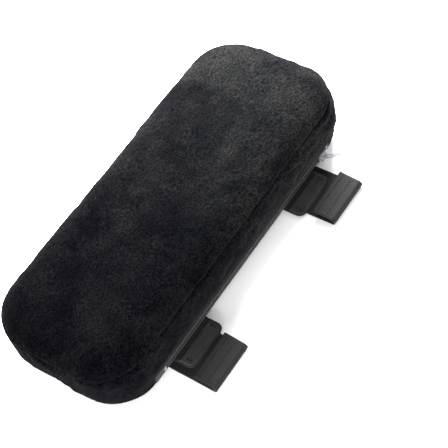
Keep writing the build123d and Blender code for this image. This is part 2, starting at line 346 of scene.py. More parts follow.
def shade(colour, *factors):
    """A colour times one factor, or times one for each channel, never above white."""
    factors = factors * 3 if len(factors) == 1 else factors
    return tuple(min(1.0, c * f) for c, f in zip(colour, factors))


# ---- materials ----
def velour():
    """Short brushed pile: cloudy light and dark patches, painted light that grows towards the
    slider's end, fine grain and a soft sheen.
    """
    pad = settings("armrest_pad")
    s = Shader(
        "velour", Specular_IOR_Level=0.0, Sheen_Weight=0.021, Sheen_Roughness=0.40,
        Sheen_Tint=(0.90, 0.91, 1.0),
    )
    at = s.place()
    clouds = s.cloud(at, 19, detail=3.0, roughness=0.55, distortion=0.8)
    patches = s.cloud(at, 85, detail=6.0, roughness=0.62, distortion=0.35)
    tufts = s.cloud(s.stretched(at, (0.7, 1.0, 1.0)), 520, detail=5.0, roughness=0.7)
    grain = s.cloud(at, 2300, detail=2.0, roughness=0.7)
    # painted light: the colour is made lighter towards the slider's end, where the far softbox
    # lights the top, and darker at the other end; brushed adds this painted light to the random
    # nap patches
    painted_light_lay = (s.axes(at)["X"], pad.painted_end_light / (2 * HALF_LENGTH))
    brushed = s.weighted((clouds, 0.46), (patches, 0.30), (tufts, 0.24), painted_light_lay)
    nap_and_painted_light = s.ramp(brushed, (0.38, 0.0), (0.52, 0.40), (0.64, 1.0))
    tone = s.mixed(nap_and_painted_light, tuple(pad.velour_dark), tuple(pad.velour_light))
    speck = s.ramp(grain, (0.30, 0.30), (0.70, 1.8))
    fleck = s.ramp(s.cloud(at, 760, detail=4.0, roughness=0.75), (0.40, 0.30), (0.60, 1.85))
    s.colour(s.mixed(1.0, s.mixed(1.0, tone, speck, "MULTIPLY"), fleck, "MULTIPLY"))
    s.rough(brushed, 0.95, 0.78)
    return s.bump((patches, 1.0 * MM, 0.30), (tufts, 0.45 * MM, 0.55), (grain, 0.14 * MM, 0.7))


def thread(name, colour):
    """Twisted polyester thread."""
    s = Shader(name, Specular_IOR_Level=0.03)
    at = s.place()
    twist = s.cloud(s.stretched(at, (1.0, 1.0, 2.5)), 2400, detail=2.0)
    s.shaded(s.cloud(at, 160, detail=3.0), colour, 1.0, 1.9)
    return s.rough(twist, 0.5, 0.72).bump((twist, 0.1 * MM, 0.7))


def memory_foam():
    """Open-cell foam, cut smooth, with fine pores."""
    s = Shader(
        "memory_foam", Specular_IOR_Level=0.2, Subsurface_Weight=0.15,
        Subsurface_Radius=(0.004, 0.003, 0.002),
    )
    at = s.place()
    pores = s.cloud(at, 900, detail=5.0, roughness=0.7)
    pale = settings("armrest_pad").foam_colour
    s.colour(s.mixed(s.cloud(at, 30, detail=3.0), tuple(pale), shade(pale, 0.94, 0.90, 0.80)))
    return s.rough(pores, 0.8, 0.95).bump((pores, 0.4 * MM, 0.6))


def grip_cloth():
    """Plain woven backing of the grip patch."""
    s = Shader("grip_cloth", Specular_IOR_Level=0.2, Sheen_Weight=0.1)
    at = s.place()
    weave = s.woven(at, 0.9 * MM, 0.9 * MM)
    s.shaded(s.cloud(at, 60, detail=4.0), settings("armrest_pad").grip_colour, 1.0, 1.6)
    return s.rough(weave, 0.9, 0.7).bump((weave, 0.15 * MM, 0.7))


def grip_rubber():
    """Moulded rubber dots with a slightly dusty skin."""
    s = Shader("grip_rubber", Specular_IOR_Level=0.45)
    at = s.place()
    dust = s.cloud(at, 240, detail=5.0, roughness=0.7)
    s.shaded(dust, settings("armrest_pad").dot_colour, 1.0, 1.7)
    return s.rough(dust, 0.38, 0.62).bump((s.cloud(at, 1800, detail=2.0), 0.06 * MM, 0.4))


def webbing():
    """Ribbed elastic webbing, lightly glossy, with its weave across the ribs and painted shade in
    the weave's hollows.
    """
    strap = settings("armrest_strap")
    s = Shader("webbing", Specular_IOR_Level=0.12, Sheen_Weight=0.04, Sheen_Roughness=0.35)
    laid = s.laid()
    across, along, _ = s.axes(laid)
    rib = s.raised(s.wave(across, strap.rib_pitch))
    pick = s.wave(along, 0.62 * strap.rib_pitch)
    pick = s.raised(s.maths("MULTIPLY", pick, s.wave(across, 2 * strap.rib_pitch)))
    fuzz = s.cloud(s.stretched(laid, (1.0, 0.4, 1.0)), 1700, detail=3.0)
    dark = strap.webbing_colour
    worn = s.mixed(s.cloud(laid, 90, detail=4.0), shade(dark, 0.75), shade(dark, 1.5))
    # painted shade: the colour is darker where the weave's picks lie low and lighter where they
    # stand up
    painted_weave_shade = s.ramp(pick, (0.0, shade(dark, 0.5)), (1.0, shade(dark, 1.6)))
    s.colour(s.mixed(0.5, worn, painted_weave_shade)).rough(fuzz, 0.55, 0.78)
    return s.bump((rib, 0.14 * MM, 0.7), (pick, 0.10 * MM, 0.7), (fuzz, 0.05 * MM, 0.5))


def tab_cloth():
    """Close plain-woven cloth of the tabs."""
    s = Shader("tab_cloth", Specular_IOR_Level=0.15, Sheen_Weight=0.08, Sheen_Roughness=0.4)
    laid = s.laid()
    weave = s.woven(laid, 0.7 * MM, 0.7 * MM)
    fuzz = s.cloud(laid, 1400, detail=3.0)
    s.shaded(fuzz, settings("armrest_strap").tab_colour, 0.7, 1.7)
    return s.rough(fuzz, 0.7, 0.9).bump((weave, 0.1 * MM, 0.6), (fuzz, 0.08 * MM, 0.6))


def loop_pile():
    """Soft fuzzy loops, matt, in small uneven tufts."""
    s = Shader("loop_pile", Specular_IOR_Level=0.05, Sheen_Weight=0.12, Sheen_Roughness=0.5)
    laid = s.laid()
    tufts = s.cloud(laid, 900, detail=4.0, roughness=0.7)
    fibres = s.cloud(s.stretched(laid, (1.0, 0.5, 1.0)), 3200, detail=3.0, roughness=0.7)
    light = settings("armrest_strap").loop_colour
    tone = s.weighted((tufts, 0.6), (s.cloud(laid, 110, detail=3.0), 0.4))
    s.colour(s.ramp(tone, (0.32, shade(light, 0.45)), (0.66, shade(light, 1.5))))
    return s.rough(tufts, 0.95, 0.8).bump((tufts, 0.5 * MM, 0.8), (fibres, 0.2 * MM, 0.8))


def hook_tape():
    """Stiff nylon ground of the hook tape."""
    s = Shader("hook_tape", Specular_IOR_Level=0.10)
    laid = s.laid()
    ground = s.woven(laid, 0.65 * MM, 0.65 * MM)
    worn = s.cloud(laid, 300, detail=3.0)
    s.shaded(worn, settings("armrest_strap").hook_colour, 0.7, 1.5)
    return s.rough(worn, 0.62, 0.82).bump((ground, 0.12 * MM, 0.7))


def zip_tape():
    """Close-woven zip tape."""
    s = Shader("zip_tape", Specular_IOR_Level=0.06, Sheen_Weight=0.02)
    at = s.place()
    weave = s.woven(at, 0.8 * MM, 0.5 * MM)
    s.shaded(s.cloud(at, 220, detail=4.0), settings("armrest_zip").tape_colour, 0.7, 1.0)
    return s.rough(weave, 0.85, 0.7).bump((weave, 0.1 * MM, 0.6))


def zip_coil():
    """Drawn nylon monofilament."""
    s = Shader("zip_coil", Specular_IOR_Level=0.28)
    at = s.place()
    worn = s.cloud(at, 260, detail=3.0)
    s.shaded(worn, settings("armrest_zip").coil_colour, 0.75, 1.2)
    return s.rough(worn, 0.28, 0.45).bump((s.cloud(at, 3000, detail=2.0), 0.03 * MM, 0.4))


def plated_metal():
    """Bright plated zinc, with hairline scratches and dull patches."""
    s = Shader("plated_metal", Metallic=1.0)
    at = s.place()
    haze = s.cloud(at, 420, detail=5.0, roughness=0.6)
    scratches = s.cloud(s.stretched(at, (0.15, 1.0, 1.0)), 2600, detail=3.0)
    s.shaded(haze, settings("armrest_zip").metal_colour, 1.0, 0.82)
    return s.rough(haze, 0.20, 0.42).bump((scratches, 0.02 * MM, 0.35))


def plain_floor():
    """Pale, matt studio floor that can be looked through from below."""
    s = Shader("floor", Specular_IOR_Level=0.05)
    mottle = s.cloud(s.place(), 3, detail=2.0)
    s.shaded(mottle, settings("armrest_stage").floor_colour, 1.0, 0.985).rough(mottle, 0.9, 1.0)
    either = s.add("ShaderNodeMixShader")
    sources = (
        s.add("ShaderNodeNewGeometry").outputs["Backfacing"],
        s.surface.outputs[0],
        s.add("ShaderNodeBsdfTransparent").outputs[0],
    )
    for socket, source in zip(either.inputs, sources):
        s.feed(socket, source)
    s.feed(s.nodes["Material Output"].inputs["Surface"], either.outputs[0])
    return s


MAKERS = {
    "velour": velour, "foam": memory_foam, "grip_cloth": grip_cloth, "grip": grip_rubber,
    "webbing": webbing, "tab_fabric": tab_cloth, "loop_pile": loop_pile, "hook": hook_tape,
    "zip_tape": zip_tape, "zip_coil": zip_coil, "zip_metal": plated_metal, "floor": plain_floor,
    "seam_thread": lambda: thread("seam_thread", settings("armrest_pad").thread_colour),
    "strap_thread": lambda: thread("strap_thread", settings("armrest_strap").tab_colour),
}
FINISHES = {}


def finish(name):
    """The finish of that name, made once."""
    if name not in FINISHES:
        FINISHES[name] = MAKERS[name]().material
    return FINISHES[name]


# ---- mesh helpers ----
def make_piece(name, points, faces, finish_name, slot=None, smooth=True):
    """A named mesh object with one finish. The slot argument is not used."""
    mesh = bpy.data.meshes.new(name)
    mesh.from_pydata([tuple(p) for p in points], [], [tuple(f) for f in faces])
    mesh.validate()
    mesh.polygons.foreach_set("use_smooth", [smooth] * len(mesh.polygons))
    mesh.materials.append(finish(finish_name))
    piece = bpy.data.objects.new(name, mesh)
    bpy.context.scene.collection.objects.link(piece)
    return piece


def settle(piece, body, *nodes):
    """Make a piece ride on a body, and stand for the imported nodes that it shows."""
    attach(piece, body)
    if nodes:
        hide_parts(*nodes)


def apply_modifiers(piece):
    """Replace a piece's mesh by what its modifiers make of it."""
    graph = bpy.context.evaluated_depsgraph_get()
    made = bpy.data.meshes.new_from_object(
        piece.evaluated_get(graph), preserve_all_data_layers=True, depsgraph=graph
    )
    piece.modifiers.clear()
    piece.data = made


def refine(piece):
    """Subdivide a piece once."""
    fine = piece.modifiers.new("fine", "SUBSURF")
    fine.levels = fine.render_levels = 1
    apply_modifiers(piece)


def close_outwards(piece):
    """Turn every face of a closed mesh to point outwards."""
    shape = bmesh.new()
    shape.from_mesh(piece.data)
    bmesh.ops.recalc_face_normals(shape, faces=shape.faces)
    shape.to_mesh(piece.data)
    shape.free()


def coords(piece):
    found = np.empty(len(piece.data.vertices) * 3)
    piece.data.vertices.foreach_get("co", found)
    return found.reshape(-1, 3)


def set_coords(piece, found):
    piece.data.vertices.foreach_set("co", np.asarray(found, float).ravel())
    piece.data.update()


def normals_of(piece):
    found = np.empty(len(piece.data.vertices) * 3, np.float32)
    piece.data.vertex_normals.foreach_get("vector", found)
    return found.reshape(-1, 3).astype(float)


def keep_laid(piece, laid):
    """Keep where each point lies on the flat cloth, for its weave."""
    attribute = piece.data.attributes.new("laid", "FLOAT_VECTOR", "POINT")
    attribute.data.foreach_set("vector", np.asarray(laid, np.float32).ravel())


def unit(vectors):
    """Vectors, one or one to a row, at length 1."""
    return vectors / np.linalg.norm(vectors, axis=-1, keepdims=True)


def lengths_along(path):
    """How far along a path each of its points lies."""
    steps = np.linalg.norm(np.diff(path, axis=0), axis=1)
    return np.concatenate(([0], np.cumsum(steps)))


def smoothstep(low, high, value):
    t = np.clip((value - low) / (high - low), 0, 1)
    return t * t * (3 - 2 * t)


def waves(points, rng, count, shortest, longest):
    """A smooth seeded ripple over space, from about -1 to 1."""
    total = np.zeros(len(points))
    for _ in range(count):
        direction = unit(rng.normal(size=3))
        length_of_wave = rng.uniform(shortest, longest)
        total += np.sin(points @ direction * tau / length_of_wave + rng.uniform(0, tau))
    return total / np.sqrt(count)


def wall(rings, around, start=0):
    """Four-sided faces between closed rings of points that follow one another."""
    faces = []
    for a in range(start, start + (rings - 1) * around, around):
        for k in range(around):
            n = (k + 1) % around
            faces.append((a + k, a + n, a + around + n, a + around + k))
    return faces


def lids(rings, around):
    """One face over each end of the rings."""
    last = (rings - 1) * around
    return [tuple(range(around))[::-1], tuple(range(last, last + around))]


def gather(parts):
    """Join lists of points and faces into one."""
    points, faces = [], []
    for some, of in parts:
        base = len(points)
        points.extend(some)
        faces.extend(tuple(base + i for i in face) for face in of)
    return points, faces


# ---- stitches ----
def capsule(start, end, radius, lift, rings=5, sides=6):
    """One stitch: a short thread from start to end, arched by lift along its own side."""
    start, end, lift = (np.asarray(v, float) for v in (start, end, lift))
    reach = np.linalg.norm(end - start)
    along = (end - start) / reach
    up = unit(lift)
    up = unit(up - along * (up @ along))
    side = np.cross(along, up)
    points = [start - along * radius * 0.4]
    for ring in range(rings):
        t = ring / (rings - 1)
        middle = start + along * reach * t + lift * 4 * t * (1 - t)
        size = radius * (0.62 if ring in (0, rings - 1) else 1.0)
        for k in range(sides):
            a = tau * k / sides
            points.append(middle + size * (cos(a) * up + sin(a) * side))
    points.append(end + along * radius * 0.4)
    last = len(points) - 1
    faces = wall(rings, sides, start=1)
    for k in range(sides):
        n = (k + 1) % sides
        faces.append((0, 1 + n, 1 + k))
        faces.append((last - sides + k, last - sides + n, last))
    return points, faces


def stitch_run(line, stitch, gap, radius, out, closed=False):
    """Stitches laid along a line, each a separate arched thread; out is the way they arch."""
    if closed:
        line, out = np.vstack((line, line[:1])), np.vstack((out, out[:1]))
    at = lengths_along(line)
    number_of = int(at[-1] / (stitch + gap))
    pitch = at[-1] / number_of
    parts = []
    for k in range(number_of):
        ends = np.array((k * pitch, k * pitch + pitch - gap))
        a, b = (np.array([np.interp(e, at, line[:, i]) for i in range(3)]) for e in ends)
        lift = unit(np.array([np.interp(ends.mean(), at, out[:, i]) for i in range(3)]))
        parts.append(capsule(a, b, radius, lift * radius * 0.9))
    return gather(parts)


def straight_stitches(start, end, out, cells, stitch, gap):
    """A straight row of stitches in the straps' thread."""
    line = np.linspace(start, end, cells)
    return stitch_run(line, stitch, gap, 0.2 * MM, np.tile(out, (cells, 1)))


def thread_piece(name, parts, slot="strap_thread"):
    return make_piece(name, *gather(parts), slot, slot)


# ---- the cover's own surface ----
def outline(step):
    """Points round the pad's plan outline with their outward directions, and the numbers of
    cells in a long side, a short side and a corner."""
    straight_x, straight_y = HALF_LENGTH - CORNER, HALF_WIDTH - CORNER
    corners = (
        (straight_x, -straight_y, -90), (straight_x, straight_y, 0),
        (-straight_x, straight_y, 90), (-straight_x, -straight_y, 180),
    )
    long_cells = 2 * round(straight_x / step)
    short_cells = 2 * round(straight_y / step)
    arc_cells = 2 * round(CORNER * pi / 4 / step)
    points, outward = [], []
    for turn, (cx, cy, first) in enumerate(corners):
        direction = np.array((cos(radians(first)), sin(radians(first))))
        begin = np.array(corners[turn - 1][:2]) + CORNER * direction
        end = np.array((cx, cy)) + CORNER * direction
        cells = short_cells if turn % 2 else long_cells
        for k in range(cells):
            points.append(begin + (end - begin) * k / cells)
            outward.append(direction)
        for k in range(arc_cells):
            a = radians(first + 90 * k / arc_cells)
            outward.append(np.array((cos(a), sin(a))))
            points.append(np.array((cx, cy)) + CORNER * outward[-1])
    return np.array(points), np.array(outward), long_cells, short_cells, arc_cells


def cover_profile():
    """Rings of the cover from under the pad to its top, each an inset and a height: away from
    the zip, and beside it."""
    pad = settings("armrest_pad")
    base, seam = PAD_BASE / MM, BASE_SEAM_Z / MM
    top_seam, swell_out = SEAM_Z / MM, pad.side_swell / MM
    slope = FLANK_IN / (2 * (BASE_SEAM_Z - PAD_BASE))
    foot = FLANK_IN / MM
    flat = [(25, base), (20, base), (15.5, base), (11.5, base), (8, base), (5.2, base + 0.5)]
    soft_edge = [(3.1, base + 1.9), (1.9, base + 3.7)]
    crisp_edge = [(foot, base + 0.1), (foot - slope * 2.0, base + 2.0)]
    groove = [(1.2, seam - 0.9), (1.7, seam), (0.9, seam + 0.9)]
    level = [(foot - slope * (z - base), z) for z in (seam - 2.6, seam, seam + 2.6)]
    flank = [(0.2, seam + 4.2), (-0.4, seam + 6.5)]
    plain = [(foot - slope * (seam + 4.2 - base), seam + 4.2), (0.0, seam + 6.6)]
    rise = top_seam - seam
    side = [
        (-swell_out * sin(pi * t) ** 0.8, seam + rise * t)
        for t in (0.32, 0.42, 0.53, 0.64, 0.75, 0.85)
    ]
    side += [(-0.3, top_seam - 3.4), (0.35, top_seam - 1.5)]
    top = [(0.15, top_seam + 1.2), (-0.35, top_seam + 2.9)]
    crown = PAD_TOP / MM - 0.35 - top_seam
    for share in (0.03, 0.10, 0.21, 0.36, 0.55, 0.78, 1.0):
        rounding = max((1 - (1 - share) ** 2.15) ** (1 / 2.15), 0.32)
        inset = pad.crown_reach / MM * share - 0.5 * (1 - share)
        top.append((inset, top_seam + crown * rounding))
    top.append((25, PAD_TOP / MM - 0.25))
    above = side + [(pad.seam_sink / MM, top_seam)] + top
    soft = flat + soft_edge + groove + flank + above
    by_zip = flat + crisp_edge + level + plain + above
    marks = {
        "base_seam": len(flat) + len(soft_edge) + 1,
        "opening": (len(flat) + 1, len(flat) + len(soft_edge) + 3),
        "top_seam": len(soft) - len(top) - 1,
    }
    return np.array(soft) * MM, np.array(by_zip) * MM, marks


def inner_patch(ring, cells, start_index, base_index, drop=0.0):
    """Fill a ring of points with a grid of faces, its height eased towards drop."""
    long_cells, short_cells, arc_cells = cells
    columns, rows = long_cells + arc_cells, short_cells + arc_cells
    count = len(ring)
    first = count - arc_cells // 2
    south = [(first + k) % count for k in range(columns + 1)]
    east = [(first + columns + k) % count for k in range(rows + 1)]
    north = [(first + 2 * columns + rows - k) % count for k in range(columns + 1)]
    west = [(first + 2 * columns + 2 * rows - k) % count for k in range(rows + 1)]
    index = np.empty((rows + 1, columns + 1), int)
    index[:, 0], index[:, columns] = west, east
    index[0], index[rows] = south, north
    index += base_index
    points = []
    for r in range(1, rows):
        for c in range(1, columns):
            u, v = c / columns, r / rows
            edge = (1 - v) * ring[south[c]] + v * ring[north[c]]
            edge = edge + (1 - u) * ring[west[r]] + u * ring[east[r]]
            corner = (1 - u) * (1 - v) * ring[south[0]] + u * (1 - v) * ring[south[-1]]
            corner = corner + (1 - u) * v * ring[north[0]] + u * v * ring[north[-1]]
            point = edge - corner
            point[2] += drop * min(1.0, 3.0 * v * (1 - v)) * min(1.0, 6.0 * u * (1 - u))
            index[r, c] = start_index + len(points)
            points.append(point)
    faces = [
        (index[r, c], index[r, c + 1], index[r + 1, c + 1], index[r + 1, c])
        for r in range(rows)
        for c in range(columns)
    ]
    return points, faces


def closed_form(rings, cells, drop=0.0):
    """Rings of points joined into a closed form, with the numbers of faces in its wall, its
    underside and its top."""
    count = len(rings[0])
    points = [point for ring in rings for point in ring]
    faces = wall(len(rings), count)
    sizes = [len(faces)]
    for ring, turned, eased in ((0, True, 0.0), (len(rings) - 1, False, drop)):
        more, patch = inner_patch(rings[ring], cells, len(points), ring * count, eased)
        points.extend(more)
        faces.extend([f[::-1] for f in patch] if turned else patch)
        sizes.append(len(patch))
    return points, faces, sizes


TOP, SIDE, BASE, OPEN = range(4)


def cover_shell():
    """The whole cover as one closed surface, each face marked with its panel."""
    plan, outward, *cells = outline(settings("armrest_pad").mesh_step)
    soft, by_zip, marks = cover_profile()
    count = len(plan)
    # how strongly each column keeps the flat strip that the zip lies in
    beside = smoothstep(0.75, 0.999, np.clip(-outward[:, 1], 0, 1))
    rings = []
    for away, near in zip(soft, by_zip):
        inset, height = (away[i] * (1 - beside) + near[i] * beside for i in (0, 1))
        rings.append(np.column_stack((plan - outward * inset[:, None], height)))
    points, faces, (_, under, over) = closed_form(rings, cells, drop=0.25 * MM)
    low, high = marks["opening"]
    panels = []
    for ring in range(len(rings) - 1):
        panel = TOP if ring >= marks["top_seam"] else SIDE if ring >= marks["base_seam"] else BASE
        in_opening = cells[0] if low <= ring < high else 0
        panels += [OPEN] * in_opening + [panel] * (count - in_opening)
    panels += [BASE] * under + [TOP] * over
    shell = make_piece("cover_shell", points, faces, "velour")
    for _ in range(3):
        shell.data.materials.append(finish("velour"))
    shell.data.polygons.foreach_set("material_index", panels)
    return shell, marks, beside


def held_fast(shell, marks, beside):
    """How firmly each point of the shell is held in the cloth simulation, from 0 to 1."""
    found = coords(shell)
    count = len(beside)
    hold = np.zeros(len(found))
    hold[: (marks["base_seam"] + 2) * count] = 1.0
    low, high = marks["opening"]
    for ring in range(low, high + 2):
        around = slice(ring * count, (ring + 1) * count)
        hold[around] = np.maximum(hold[around], beside)
    hold[marks["top_seam"] * count : (marks["top_seam"] + 1) * count] = 0.85
    hold = np.maximum(hold, 0.55 * smoothstep(SEAM_Z + 6 * MM, PAD_TOP, found[:, 2]))
    hold[found[:, 2] < PAD_BASE + 1.0 * MM] = 1.0
    return hold


CLOTH = {
    "quality": 5, "mass": 0.15, "tension_stiffness": 18, "compression_stiffness": 18,
    "shear_stiffness": 6, "bending_stiffness": 0.4, "tension_damping": 6,
    "compression_damping": 6, "shear_damping": 4, "vertex_group_mass": "held",
    "pin_stiffness": 1.0, "use_pressure": True,
}
CLOTH_FRAMES = 20


def swell(shell, hold):
    """Fill the slack cover with a little air so that it swells and wrinkles between its seams."""
    pad = settings("armrest_pad")
    before, out = coords(shell), normals_of(shell)
    group = shell.vertex_groups.new(name="held")
    for k, weight in enumerate(hold):
        if weight > 0.01:
            group.add([k], float(weight), "REPLACE")
    cloth = shell.modifiers.new("cloth", "CLOTH")
    for name, value in CLOTH.items():
        setattr(cloth.settings, name, value)
    cloth.settings.shrink_min = -pad.slack
    cloth.settings.uniform_pressure_force = pad.swell_pressure
    cloth.settings.effector_weights.gravity = 0
    scene = bpy.context.scene
    cloth.point_cache.frame_start, cloth.point_cache.frame_end = 1, CLOTH_FRAMES
    for step in range(1, CLOTH_FRAMES + 1):
        scene.frame_set(step)
    apply_modifiers(shell)
    scene.frame_set(1)
    moved = coords(shell) - before
    far = np.linalg.norm(moved, axis=1)
    share = np.minimum(1.0, pad.swell_limit / np.maximum(far, 1e-9))
    moved = moved * share[:, None] * (1 - hold[:, None])
    # the foam behind the cloth stops it from sinking in
    sunk = np.minimum(0, np.sum(moved * out, axis=1) + pad.foam_give)
    set_coords(shell, before + moved - out * sunk[:, None])


# creases that lie in the cover: start and end in millimetres, depth share and width
CREASES = (
    ((34, -53, 32.0), (66, -53, 29.0), 0.9, 3.2),
    ((70, -53, 33.5), (104, -52, 30.0), 1.0, 3.0),
    ((84, -53, 24.5), (112, -50, 31.0), 1.0, 3.4),
    ((58, -53.5, 20.5), (80, -53, 26.0), 0.8, 3.4),
    ((96, -53, 17.5), (115, -47, 23.0), 0.7, 3.0),
    ((6, -53.5, 27.0), (26, -53, 32.5), 0.8, 3.0),
    ((-26, -53.5, 21.0), (-8, -53.5, 26.0), 0.5, 3.6),
    ((-66, -53, 33.5), (-44, -53, 30.0), 0.5, 3.0),
    ((-96, -53, 20.0), (-84, -53, 30.0), 0.5, 3.4),
    ((113, -47, 34), (122, -36, 24), 0.9, 3.0),
    ((-102, -52, 39.0), (-119, -41, 33.5), 1.0, 2.6),
    ((-108, -50, 33.5), (-119, -40, 28.0), 0.9, 2.6),
    ((-120, -38, 30), (-125, -26, 19), 0.7, 3.0),
    ((-127, -8, 33), (-128, -12, 14), 0.6, 3.2),
    ((-127, 20, 32), (-127, 14, 18), 0.5, 3.2),
    ((127, 6, 33), (128, 12, 16), 0.6, 3.2),
    ((126, -20, 33), (127, -16, 18), 0.5, 3.0),
    ((30, 53.5, 32), (70, 53, 28), 0.7, 3.2),
    ((-84, 53.5, 24), (-50, 53.5, 31), 0.7, 3.2),
    ((-14, 53.5, 20), (12, 53.5, 27), 0.5, 3.4),
    ((106, 50, 34), (120, 39, 27), 0.8, 3.0),
    ((-106, 50, 34), (-119, 40, 28), 0.8, 3.0),
)


def distance_to(points, start, end):
    """Distance of points to a line between two ends, and how far along it they lie."""
    along = end - start
    t = np.clip((points - start) @ along / (along @ along), 0, 1)
    return np.linalg.norm(points - (start + t[:, None] * along), axis=1), t


def crease(shell):
    """Press the creases into the cover and give it a slow, uneven fullness."""
    pad = settings("armrest_pad")
    rng = np.random.default_rng(pad.seed)
    found, out = coords(shell), normals_of(shell)
    height = found[:, 2]
    shift = np.zeros(len(found))
    for start, end, share, width in CREASES:
        start, end = np.array(start) * MM, np.array(end) * MM
        bend = rng.normal(size=3) * 0.8 * MM
        middle = (start + end) / 2 + bend
        w = width * MM * 0.62
        for a, b in ((start, middle), (middle, end)):
            away, t = distance_to(found, a, b)
            ease = np.sin(pi * (0.25 + 0.5 * t)) ** 2
            lips = np.exp(-(((away - 2.1 * w) / (1.2 * w)) ** 2))
            dent = np.exp(-((away / w) ** 2)) - 0.45 * lips
            shift -= 0.6 * pad.crease_depth * share * dent * ease
    rolling = waves(found * (1, 1.2, 1.6), rng, 9, 34 * MM, 80 * MM)
    ripples = waves(found * (1, 1, 0.8), rng, 12, 9 * MM, 22 * MM)
    side = smoothstep(BASE_SEAM_Z + 5 * MM, BASE_SEAM_Z + 9 * MM, height)
    side *= 1 - smoothstep(SEAM_Z - 3 * MM, SEAM_Z, height)
    top = smoothstep(SEAM_Z + 2 * MM, SEAM_Z + 6 * MM, height)
    shift = shift * np.maximum(side, 0.5 * top)
    shift += rolling * 0.32 * MM * np.maximum(side, top)
    shift += ripples * 0.16 * MM * np.maximum(side, 0.35 * top)
    # the seam puckers a little between its stitches
    near_seam = np.exp(-(((height - SEAM_Z) / (3.0 * MM)) ** 2))
    puckers = waves(found * (1, 1, 0.2), rng, 10, 5.5 * MM, 11 * MM)
    shift += puckers * 0.14 * MM * near_seam
    set_coords(shell, found + out * shift[:, None])


def take_panel(shell, panel, name):
    """A panel of the shell as a closed piece of cloth with thickness."""
    shape = bmesh.new()
    shape.from_mesh(shell.data)
    others = [f for f in shape.faces if f.material_index != panel]
    bmesh.ops.delete(shape, geom=others, context="FACES")
    piece = make_piece(name, [], [], "velour", "velour")
    shape.to_mesh(piece.data)
    shape.free()
    piece.data.polygons.foreach_set("material_index", [0] * len(piece.data.polygons))
    thick = piece.modifiers.new("thickness", "SOLIDIFY")
    thick.thickness = settings("armrest_pad").cloth_thickness
    thick.offset = -1
    apply_modifiers(piece)
    piece.data.polygons.foreach_set("use_smooth", [True] * len(piece.data.polygons))
    return piece


def seam_line(shell, ring, count):
    """Where the seam on a ring of the shell lies once the cloth is subdivided."""
    below, middle, above = (
        coords(shell)[r * count : (r + 1) * count] for r in (ring - 1, ring, ring + 1)
    )
    return 0.125 * below + 0.75 * middle + 0.125 * above


class ARMREST_OT_cover(bpy.types.Operator):
    """Sew the velour cover: top panel, side band and base panel, with its seams stitched"""

    bl_idname = "armrest.cover"
    bl_label = "Velour cover"

    def execute(self, context):
        shell, marks, beside = cover_shell()
        swell(shell, held_fast(shell, marks, beside))
        lines = {seam: seam_line(shell, marks[seam], len(beside)) for seam in
                 ("top_seam", "base_seam")}
        refine(shell)
        crease(shell)
        for panel, name, node in (
            (TOP, "cover_top", "cover_top_panel"),
            (SIDE, "cover_side", "cover_side_band"),
            (BASE, "cover_base", "cover_bottom_panel"),
        ):
            piece = take_panel(shell, panel, name)
            settle(piece, "root", node)
        bpy.data.objects.remove(shell)
        self.stitch("top_seam", lines["top_seam"], "top_seam_stitching")
        self.stitch("base_seam", lines["base_seam"], "bottom_seam_stitching")
        return {"FINISHED"}

    @staticmethod
    def stitch(seam, line, node):
        """Stitches along one seam of the cover."""
        pad = settings("armrest_pad")
        out = line - line * (0.6, 0, 0)
        out[:, 2] = 0
        out = unit(out)
        closed = seam == "top_seam"
        if not closed:
            # the zip takes the seam's place along the front
            away = ~((line[:, 1] < 0) & (np.abs(line[:, 0]) < ZIP_END + 1 * MM))
            first = int(np.argmax(away))
            line, out = line[first:], out[first:]
        run = stitch_run(
            line + out * 0.15 * MM, pad.stitch_length, 0.9 * MM, pad.thread_radius, out, closed
        )
        settle(thread_piece(f"{seam}_stitches", [run], "seam_thread"), "root", node)


class ARMREST_OT_foam(bpy.types.Operator):
    """Make the memory foam pad inside the cover"""

    bl_idname = "armrest.foam"
    bl_label = "Foam pad"

    def execute(self, context):
        low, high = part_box("foam_core")
        plan, outward, *cells = outline(5 * MM)
        rim = HALF_LENGTH - high.x
        # a crowned block, flat below, with a channel where the zip's inner side runs
        profile = (
            (25, low.z), (15, low.z), (8, low.z + 0.1 * MM), (5.2, low.z + 2.0 * MM),
            (4.4, low.z + 7 * MM), (3.8, low.z + 12 * MM), (2.0, low.z + 16 * MM),
            (1.4, low.z + 24 * MM), (1.8, SEAM_Z - 4 * MM), (3.6, SEAM_Z + 1.0 * MM),
            (6.5, SEAM_Z + 5.5 * MM), (12, high.z - 3.4 * MM), (20, high.z - 1.5 * MM),
            (25, high.z - 1.2 * MM),
        )
        rings = [
            np.column_stack(
                (plan - outward * (inset * MM + rim * 0.5), np.full(len(plan), height))
            )
            for inset, height in profile
        ]
        points, faces, _ = closed_form(rings, cells)
        piece = make_piece("foam_pad", points, faces, "foam", "foam")
        refine(piece)
        close_outwards(piece)
        settle(piece, "root", "foam_core")
        return {"FINISHED"}


